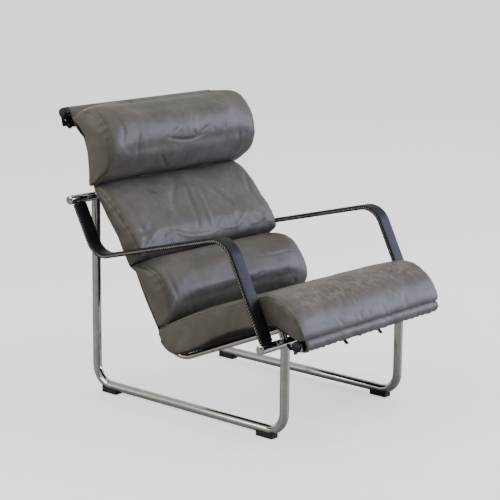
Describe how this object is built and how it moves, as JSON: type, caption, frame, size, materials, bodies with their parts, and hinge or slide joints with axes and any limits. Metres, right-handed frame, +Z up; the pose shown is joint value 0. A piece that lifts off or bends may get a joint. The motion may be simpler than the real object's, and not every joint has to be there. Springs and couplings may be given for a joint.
{
  "type": "lounge chair",
  "caption": "Leather sling lounge chair with roll pads on bent tube rails, carried by tubular sled loops with leather-wrapped armrests.",
  "frame": {"origin": "on the floor, under the middle of the chair's footprint", "axes": "+Z up, -Y the way the sitter faces, +X to the sitter's left"},
  "size_m": [0.7076, 0.8884, 0.82],
  "materials": {
    "chrome_tube": "polished chrome plate",
    "arm_steel": "flat steel bar, hidden in the armrest",
    "arm_leather": "black, smooth, stitched along its edges",
    "grey_leather": "warm grey, soft sheen, creased and lightly scuffed",
    "strap_leather": "black outside, red-brown raw back",
    "cap_plastic": "matt black",
    "foot_rubber": "matt black"
  },
  "bodies": {
    "root": {"sled_loop_right": "chrome_tube", "sled_loop_left": "chrome_tube", "foot_rear_right": "foot_rubber", "foot_front_right": "foot_rubber", "foot_rear_left": "foot_rubber", "foot_front_left": "foot_rubber", "cross_tube_rear": "chrome_tube", "tube_end_rear_right": "chrome_tube", "dome_cap_rear_right": "chrome_tube", "tube_end_rear_left": "chrome_tube", "dome_cap_rear_left": "chrome_tube", "cross_tube_front": "chrome_tube", "tube_end_front_right": "chrome_tube", "dome_cap_front_right": "chrome_tube", "tube_end_front_left": "chrome_tube", "dome_cap_front_left": "chrome_tube", "armrest_core_right": "arm_steel", "armrest_cover_right": "arm_leather", "armrest_core_left": "arm_steel", "armrest_cover_left": "arm_leather", "seat_rail_right": "chrome_tube", "standoff_front_right": "chrome_tube", "standoff_rear_right": "chrome_tube", "seat_rail_left": "chrome_tube", "standoff_front_left": "chrome_tube", "standoff_rear_left": "chrome_tube", "top_bar": "chrome_tube", "bar_cap_top_right": "cap_plastic", "bar_cap_top_left": "cap_plastic", "front_bar": "chrome_tube", "bar_cap_front_right": "cap_plastic", "bar_cap_front_left": "cap_plastic", "sling_sheet": "grey_leather", "head_roll": "grey_leather", "upper_back_pad": "grey_leather", "lumbar_roll": "grey_leather", "seat_pad": "grey_leather", "belt_top_end_right": "strap_leather", "buckle_top_end_right": "chrome_tube", "belt_top_mid_right": "strap_leather", "belt_top_end_left": "strap_leather", "buckle_top_end_left": "chrome_tube", "belt_top_mid_left": "strap_leather", "belt_front_end_right": "strap_leather", "buckle_front_end_right": "chrome_tube", "belt_front_mid_right": "strap_leather", "belt_front_end_left": "strap_leather", "buckle_front_end_left": "chrome_tube", "belt_front_mid_left": "strap_leather"}
  },
  "joints": []
}
